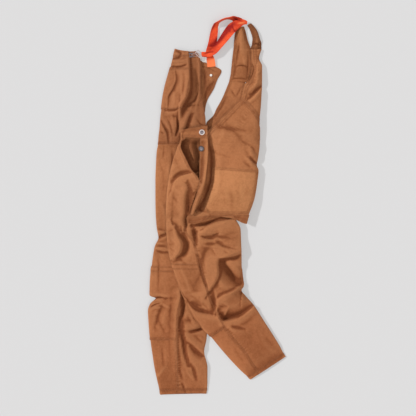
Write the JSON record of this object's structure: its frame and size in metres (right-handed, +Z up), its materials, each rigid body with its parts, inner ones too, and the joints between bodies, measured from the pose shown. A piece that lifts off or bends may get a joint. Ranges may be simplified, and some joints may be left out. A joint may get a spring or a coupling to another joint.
{
  "type": "bib overalls",
  "caption": "Duck canvas bib overalls laid flat on their side, with bib, webbing straps, patch pockets, slash pocket, button fly and double-knee legs.",
  "frame": {"origin": "centre of the bounding box in plan, at the flat underside", "axes": "+Y runs from the hems to the straps, +X from the wearer's front to the wearer's back, +Z up from the surface the garment lies on"},
  "size_m": [0.549, 1.5078, 0.0635],
  "materials": {
    "duck": "matt washed cotton duck, tan brown",
    "duck_shade": "the same duck, its inner side",
    "webbing": "orange woven webbing",
    "steel": "nickelled steel, satin",
    "button_bright": "bright nickelled shank button",
    "button_dark": "tarnished shank button",
    "enamel": "off-white"
  },
  "bodies": {
    "root": {"back_core": "duck_shade", "back_panel": "duck", "back_patch_pocket": "duck", "back_yoke": "duck", "bib_core": "duck_shade", "bib_far_half": "duck_shade", "bib_front": "duck", "chest_pocket": "duck", "far_rivet": "enamel", "far_strap": "duck", "hip_core": "duck_shade", "hook": "steel", "hook_link": "steel", "left_back": "duck", "left_front": "duck", "left_knee_patch": "duck", "left_leg_core": "duck_shade", "lower_button": "button_dark", "near_strap": "duck", "placket": "duck", "pocket_facing": "duck_shade", "right_back": "duck", "right_front": "duck", "right_knee_patch": "duck", "right_leg_core": "duck_shade", "seat_band": "duck", "side_far_half": "duck_shade", "slider": "steel", "strap_ring": "enamel", "upper_button": "button_bright", "waistband": "duck", "webbing_cross": "webbing", "webbing_end": "webbing", "webbing_loop": "webbing"}
  },
  "joints": []
}
